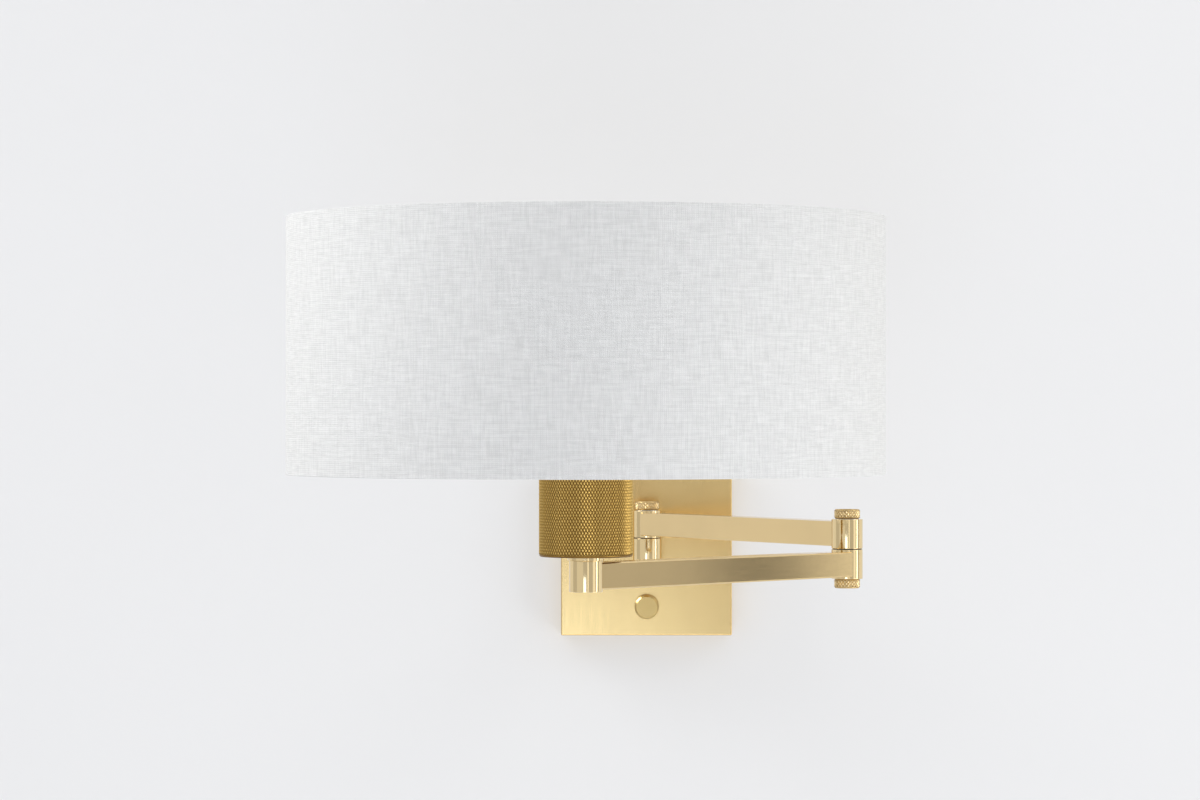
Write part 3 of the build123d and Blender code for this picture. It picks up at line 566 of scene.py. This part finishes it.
# ---------------------------------------------------------------- pieces
class SCONCE_OT_brass(bpy.types.Operator):
    """Finish the plate, post, bars and knob in brushed brass and the collar in polished brass"""

    bl_idname = "sconce.brass"
    bl_label = "Brass"

    def execute(self, context):
        colours = context.scene.sconce_colours
        # belt strokes about 30 mm long; real ones are too fine to show, so they are 0.35 mm apart
        apart = 1 / (0.35 * MM)
        along = 1 / (30 * MM)
        # up the plate, out from the wall on the post, along the bars, and out along the knob
        upright = (apart, apart, along)
        outwards = (apart, along, apart)
        lengthwise = (along, apart, apart)
        on_knob = (apart, 1, apart)
        plate = brushed_brass("brass_brushed_plate", colours.plate, 0, upright, (0.15, 0.25))
        post = brushed_brass("brass_brushed_post", colours.brass, 0, outwards, (0.26, 0.4))
        upper_bar = brushed_brass(
            "brass_brushed_upper_arm", colours.brass, -UPPER_HEADING, lengthwise, (0.1, 0.16))
        lower_bar = brushed_brass(
            "brass_brushed_lower_arm", colours.brass, -LOWER_HEADING, lengthwise, (0.06, 0.12))
        knob = brushed_brass("brass_satin_knob", colours.knob, 0, on_knob, (0.2, 0.28))
        paint(plate, "backplate")
        paint(post, "wall_post")
        paint(upper_bar, "upper_arm_bar")
        paint(lower_bar, "lower_arm_bar")
        paint(polished_brass("brass_polished_collar", colours.polished), "head_collar")
        paint(knob, "dimmer_knob")
        return {"FINISHED"}


class SCONCE_OT_barrels(bpy.types.Operator):
    """Turn the polished barrels of both knuckles and of the arm's lamp end"""

    bl_idname = "sconce.barrels"
    bl_label = "Barrels"

    def execute(self, context):
        finish = polished_brass("brass_polished", context.scene.sconce_colours.polished)
        radius = radius_of("wall_barrel")
        height = high("wall_barrel").z - low("wall_barrel").z
        edge = 0.3 * MM
        outside = corner((radius - edge, edge), edge, -90, 0)
        outside += corner((radius - edge, height - edge), edge, 0, 90)
        pin_bore = radius_of("wall_pin") + FIT
        bushing_bore = radius_of("wall_bushing") + FIT
        for bore, barrels in ((pin_bore, FIXED_BARRELS), (bushing_bore, TURNING_BARRELS)):
            barrel = turned("barrel", outside + [(bore, height), (bore, 0)], BARREL_SEGMENTS)
            smooth(barrel)
            for name, body in barrels.items():
                copy = copy_of(barrel, name + "_turned", foot(name, low(name).z))
                hand_over(copy, finish, body, "polished_brass", name)
            only(barrel)
            bpy.ops.object.delete()

        # the lamp end is bored from its top to its middle, where the cup's nipple stands
        bored = outside + [(pin_bore, height), (pin_bore, height / 2), (0, height / 2)]
        lamp_end = plugged("lamp_barrel_turned", bored, BARREL_SEGMENTS)
        smooth(lamp_end)
        name = "lower_arm_lamp_barrel"
        settle(lamp_end, foot(name, low(name).z))
        hand_over(lamp_end, finish, "lower_arm", "polished_brass", name)
        return {"FINISHED"}


class SCONCE_OT_hardware(bpy.types.Operator):
    """Finish the screws, nuts, washers, socket, dimmer and leads"""

    bl_idname = "sconce.hardware"
    bl_label = "Hardware"

    def execute(self, context):
        brass = plain_metal("brass_turned", "C9A762", 0.3, 6 * MM)
        zinc = plain_metal("steel_zinc_plated", "BDBEBC", 0.32, 9 * MM)
        green = plain_metal("steel_green_passivated", "4F8A52", 0.35, 4 * MM)
        aluminium = plain_metal("aluminium_rolled", "C8C9CC", 0.28, 5 * MM)
        nylon = moulded("nylon_black", "17171A", 0.45, 0.8 * MM)
        phenolic = moulded("phenolic_black", "1C1A18", 0.4, 1.2 * MM)
        polycarbonate = moulded("polycarbonate_grey", "2B2C2E", 0.5, 0.6 * MM, 0.3)
        polypropylene = moulded("polypropylene_orange", "D9782A", 0.4, 0.8 * MM)
        pvc = moulded("pvc_black", "1B1B1C", 0.42, 1 * MM)
        white = moulded("powder_coat_white", "E9E9E6", 0.38, 0.7 * MM, 0.25)
        paint(brass, "wall_pin", "elbow_pin", "post_nipple", "head_nipple", "center_contact",
              "screw_shell", "dimmer_bushing")
        paint(zinc, "mounting_bracket", "cover_screws", "post_washer", "post_nut", "wall_wave_washer",
              "elbow_wave_washer", "cup_washer", "cup_nut", "socket_cap", "dimmer_nut",
              "dimmer_shaft", "knob_set_screw")
        paint(green, "ground_screw")
        paint(aluminium, "bulb_cap")
        paint(nylon, "wall_thrust_washer", "elbow_thrust_washer", "wall_bushing", "elbow_bushing")
        paint(phenolic, "socket_body", "bulb_contact")
        paint(polycarbonate, "dimmer_body")
        paint(polypropylene, "wire_connectors")
        paint(pvc, "canopy_wires", "upper_arm_wire", "lower_arm_wire")
        paint(white, "lower_ring_nut", "fitter_ring", "upper_ring_nut", "spider_spokes",
              "shade_bottom_ring", "shade_top_ring")
        paint(opal_glass("glass_opal"), "bulb_glass")
        return {"FINISHED"}


class SCONCE_OT_cup(bpy.types.Operator):
    """Model the knurled cup that hides the lamp holder"""

    bl_idname = "sconce.cup"
    bl_label = "Knurled cup"

    def execute(self, context):
        sizes = context.scene.sconce_sizes
        colours = context.scene.sconce_colours
        radius = radius_of("knurled_cup")
        bottom = low("knurled_cup").z
        top = high("knurled_cup").z
        floor = low("cup_washer").z
        bore = radius_of("head_nipple") + FIT
        wall = 2 * MM
        edge = 1.2 * MM
        step = 0.2 * MM
        fillet = 1.5 * MM
        chamfer = 0.3 * MM
        band_radius = radius - sizes.knurl_depth
        inner = radius - wall
        # round the lower edge, in to the bore, up it, along the floor, up the inside and over the rim
        profile = corner((radius - edge - step, bottom + edge), edge, -10, -90)
        profile += [(bore, bottom), (bore, floor)]
        profile += corner((inner - fillet, floor + fillet), fillet, -90, 0)
        profile += [(inner, top - chamfer), (inner + chamfer, top)]
        profile += [(band_radius - chamfer, top), (band_radius, top - chamfer)]
        cup = knurled("cup_shell", radius, bottom + edge, top - chamfer, sizes.knurl_width,
                      sizes.knurl_height, sizes.knurl_depth, CUP_FLANK * sizes.knurl_width, profile)
        smooth(cup, 25)
        centre = foot("knurled_cup")
        settle(cup, centre)
        finish = knurled_brass("brass_knurled_cup", centre, radius, sizes.knurl_depth,
                               colours.knurled, colours.groove_shade)
        hand_over(cup, finish, "lower_arm", "knurled_brass", "knurled_cup")
        return {"FINISHED"}


class SCONCE_OT_finials(bpy.types.Operator):
    """Model one knurled end nut and copy it to both ends of both knuckles"""

    bl_idname = "sconce.finials"
    bl_label = "Finials"

    def execute(self, context):
        sizes = context.scene.sconce_sizes
        colours = context.scene.sconce_colours
        radius = radius_of("wall_top_finial")
        height = high("wall_top_finial").z - low("wall_top_finial").z
        bore = radius_of("wall_pin") + FIT
        pin_depth = high("wall_pin").z - low("wall_top_finial").z
        edge = 0.5 * MM
        rim = 2.6 * MM
        dish = 0.3 * MM
        band_radius = radius - sizes.knurl_depth
        under = [(band_radius - edge, 0), (bore, 0), (bore, pin_depth), (0, pin_depth)]
        over = corner((band_radius - edge, height - edge), edge, 20, 90)
        over += [(radius - rim, height), (radius - rim - dish, height - dish), (0, height - dish)]
        knurl = sizes.finial_knurl
        nut = knurled("finial", radius, edge, height - edge, knurl, knurl, sizes.knurl_depth,
                      FINIAL_FLANK * knurl, under, over)
        smooth(nut, 25)
        for name, body in FINIALS.items():
            top = "top" in name
            centre = foot(name, low(name).z if top else high(name).z)
            turn = (0 if top else math.pi, 0, 0)
            copy = copy_of(nut, name.replace("finial", "end_nut"), centre, turn)
            finish = knurled_brass("brass_knurled_" + name, centre, radius, sizes.knurl_depth,
                                   colours.finial, colours.finial_groove_shade)
            hand_over(copy, finish, body, "knurled_brass", name)
        only(nut)
        bpy.ops.object.delete()
        return {"FINISHED"}


class SCONCE_OT_shade(bpy.types.Operator):
    """Model the linen of the drum shade with its glued seam and its rolled edges, and finish its white
    liner
    """

    bl_idname = "sconce.shade"
    bl_label = "Shade"

    def execute(self, context):
        sizes = context.scene.sconce_sizes
        colours = context.scene.sconce_colours
        centre = foot("shade_linen")
        radius = radius_of("shade_linen")
        bottom = low("shade_bottom_hem").z
        top = high("shade_top_hem").z
        inner = radius_of("shade_liner")
        wire = high("shade_top_ring").z - low("shade_top_ring").z
        hem = high("shade_bottom_hem").z - bottom
        tape = 0.6 * MM
        tape_outer = radius_of("shade_top_ring") - wire - FIT
        tape_inner = tape_outer - tape
        roll = 0.45 * MM
        overlap = 0.15 * MM
        outer = radius - overlap
        linen = linen_cloth("linen_white", colours.linen, centre, radius,
                            sizes.thread_pitch, sizes.slub_length)
        # up the outside, over the top wire, down inside it, up under it and down the drum; same below
        profile = corner((outer - roll, bottom + roll), roll, -90, 0)
        profile += corner((outer - roll, top - roll), roll, 0, 90)
        profile += corner((tape_inner + roll, top - roll), roll, 90, 180)
        profile += [(tape_inner, top - hem), (tape_outer, top - hem), (tape_outer, top - tape)]
        profile += [(inner, top - tape), (inner, bottom + tape)]
        profile += [(tape_outer, bottom + tape), (tape_outer, bottom + hem)]
        profile += [(tape_inner, bottom + hem), (tape_inner, bottom + tape)]
        profile += corner((tape_inner + roll, bottom + roll), roll, 180, 270)
        cloth = turned("shade_cloth", profile, SHADE_SEGMENTS)

        def turn_from(point, angle):
            """Degrees about the shade's axis from an angle to a point."""
            return (math.degrees(math.atan2(point.y, point.x)) - angle + 180) % 360 - 180

        def is_seam(face):
            """A face of the outside near the wall; the rolled edges' faces are far smaller."""
            point = face.calc_center_median()
            arc = math.radians(abs(turn_from(point, SEAM_ANGLE))) * radius
            outside = point.xy.length > outer - 0.1 * MM and face.calc_area() > MM * MM
            return outside and arc < sizes.seam_width / 2

        edit(cloth)
        pick(cloth, "faces", is_seam)
        bpy.ops.mesh.extrude_region_shrink_fatten(TRANSFORM_OT_shrink_fatten={"value": overlap})

        def on_tape(point):
            """Whether a point is on the lower tape."""
            level = bottom + tape - CLOSE < point.z < bottom + hem + CLOSE
            return level and point.xy.length < tape_outer + CLOSE

        # the lower tape is cut where the spokes pass through it; the cut's ends and floor are closed
        tape_foot = bottom + tape + CLOSE
        for spoke in SPOKE_ANGLES:
            def is_cut(face):
                point = face.calc_center_median()
                near = abs(turn_from(point, spoke)) < SPOKE_CUT_HALF_ANGLE
                return near and on_tape(point) and point.z > tape_foot

            def is_floor(vert):
                near = abs(turn_from(vert.co, spoke)) < SPOKE_CUT_HALF_ANGLE + 0.1
                return near and on_tape(vert.co) and vert.co.z < tape_foot

            pick(cloth, "faces", is_cut)
            bpy.ops.mesh.delete(type="FACE")
            for end in (spoke - SPOKE_CUT_HALF_ANGLE, spoke + SPOKE_CUT_HALF_ANGLE):
                def is_end(vert):
                    return on_tape(vert.co) and abs(turn_from(vert.co, end)) < 0.1

                pick(cloth, "verts", is_end)
                bpy.ops.mesh.edge_face_add()
            pick(cloth, "verts", is_floor)
            bpy.ops.mesh.edge_face_add()

        mend(cloth)
        smooth(cloth, 40)
        settle(cloth, centre)
        hand_over(cloth, linen, "lower_arm", "linen",
                  "shade_linen", "shade_top_hem", "shade_bottom_hem")
        # what each edge turns in: over the wire, and down the tape
        paint(moulded("styrene_white", "F3F2EF", 0.55, 3 * MM), "shade_liner")
        return {"FINISHED"}


# ---------------------------------------------------------------- stage
def aim(obj, target):
    """Turns a light or camera to look at a point."""
    obj.rotation_euler = (Vector(target) - obj.location).to_track_quat("-Z", "Y").to_euler()


def softbox(name, location, target, size, brightness, colour="FFFFFF"):
    """A plain rectangular light; a brightness of 1 is as bright as a white card."""
    only(None)
    bpy.ops.object.light_add(type="AREA", location=location)
    lamp = bpy.context.object
    lamp.name = name
    lamp.data.shape = "RECTANGLE"
    lamp.data.size, lamp.data.size_y = size
    lamp.data.energy = brightness * math.pi * size[0] * size[1]
    lamp.data.color = linear(colour)[:3]
    lamp.visible_camera = False
    aim(lamp, target)


def panel(name, size, location, turn, material):
    """A flat rectangle of the stage, upwards unless it is turned."""
    only(None)
    bpy.ops.mesh.primitive_plane_add(size=1, location=(0, 0, 0))
    sheet = bpy.context.object
    sheet.name = name
    edit(sheet)
    bpy.ops.transform.resize(value=(*size, 1))
    bpy.ops.object.mode_set(mode="OBJECT")
    settle(sheet, location, turn)
    sheet.data.materials.append(material)
    return sheet


class SCONCE_OT_stage(bpy.types.Operator):
    """Build the wall, the soft lights and the camera"""

    bl_idname = "sconce.stage"
    bl_label = "Wall, lights and camera"

    def execute(self, context):
        upright = math.pi / 2
        pale = context.scene.sconce_colours.wall
        # the wall stands just behind the plate's rim, so that their faces don't coincide
        panel("wall", (8, 6), (0, 0.3 * MM, 0.2), (upright, 0, 0), plaster("plaster_white", pale))
        panel("floor", (8, 5), (0, -2.5, -2.8), (0, 0, 0), plaster("screed_pale", pale))

        # the middle of the lamp, which most lights look at
        lamp = (-0.04, -0.43, 0.05)
        # high daylight from the left, and the room's pale far side
        softbox("window_left", (-2.6, -0.5, 2.2), lamp, (1.0, 2.0), 10.5)
        softbox("bounce_left", (-2.4, -3.1, 0.2), lamp, (3.0, 2.2), 0.2)
        # what the plate's lower half and the barrels mirror
        softbox("front_low_left", (-0.42, -3.3, -0.77), (-0.42, 0, -0.77), (0.92, 1.2), 2.45, "CFE0FF")
        softbox("strip_front", (0.72, -3.3, 0.0), lamp, (0.36, 1.8), 0.7)
        # what the bars and the knuckles' right sides mirror
        softbox("bounce_right", (2.4, -1.95, 0.1), lamp, (0.9, 1.6), 0.5)
        softbox("strip_right", (2.5, -0.85, 0.1), lamp, (0.42, 1.6), 2.4)
        # even light that keeps the shadows soft
        softbox("high_right", (2.6, -1.3, 2.0), lamp, (1.6, 1.2), 3.0)
        softbox("low_right", (2.6, -1.3, -1.8), lamp, (1.6, 1.2), 4.0)
        softbox("overhead", (-0.3, -2.4, 2.6), lamp, (2.6, 1.8), 0.7)
        softbox("underneath", (0.0, -2.6, -2.2), lamp, (2.6, 1.2), 1.5)

        # a grey card at the right, seen only in reflections, darkens part of the lower bar
        card = panel("card", (0.12, 1.6), (2.6, -0.1, 0), (upright, 0, upright),
                     moulded("card_grey", "808080", 0.9, 5 * MM))
        card.visible_camera = False
        card.visible_shadow = False
        card.visible_diffuse = False

        world = bpy.data.worlds.new("studio")
        context.scene.world = world
        world.use_nodes = True
        background = world.node_tree.nodes["Background"].inputs
        background["Color"].default_value = linear("FDFDFF")
        background["Strength"].default_value = 0.6

        # square to the wall, about level with the shade, with a long lens and hardly any shift
        bpy.ops.object.camera_add(location=(-0.0328, -2.643, 0.0983), rotation=(upright, 0, 0))
        camera = context.object
        camera.name = "camera"
        camera.data.lens = 111.48
        camera.data.sensor_width = 36
        camera.data.shift_y = 0.0089
        context.scene.camera = camera
        context.scene.view_settings.view_transform = "Standard"
        return {"FINISHED"}


# the order in which the object is built
STEPS = (SCONCE_OT_stage, SCONCE_OT_brass, SCONCE_OT_barrels, SCONCE_OT_hardware, SCONCE_OT_cup,
         SCONCE_OT_finials, SCONCE_OT_shade)


class SCONCE_PT_panel(bpy.types.Panel):
    """The sconce's sizes, colours and steps"""

    bl_label = "Sconce"
    bl_idname = "SCONCE_PT_panel"
    bl_space_type = "VIEW_3D"
    bl_region_type = "UI"
    bl_category = "Sconce"

    def draw(self, context):
        for group in (context.scene.sconce_sizes, context.scene.sconce_colours):
            for name in group.__annotations__:
                self.layout.prop(group, name)
        for step in STEPS:
            self.layout.operator(step.bl_idname)


CLASSES = (SconceSizes, SconceColours, *STEPS, SCONCE_PT_panel)


def register():
    """Adds the classes, and the sizes and colours to the scene."""
    for cls in CLASSES:
        bpy.utils.register_class(cls)
    bpy.types.Scene.sconce_sizes = bpy.props.PointerProperty(type=SconceSizes)
    bpy.types.Scene.sconce_colours = bpy.props.PointerProperty(type=SconceColours)


def unregister():
    """Takes the classes, the sizes and the colours away again."""
    del bpy.types.Scene.sconce_colours
    del bpy.types.Scene.sconce_sizes
    for cls in reversed(CLASSES):
        bpy.utils.unregister_class(cls)


def main():
    """Builds everything in order."""
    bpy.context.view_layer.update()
    register()
    for step in STEPS:
        area, action = step.bl_idname.split(".")
        getattr(getattr(bpy.ops, area), action)()


if __name__ == "__main__":
    main()
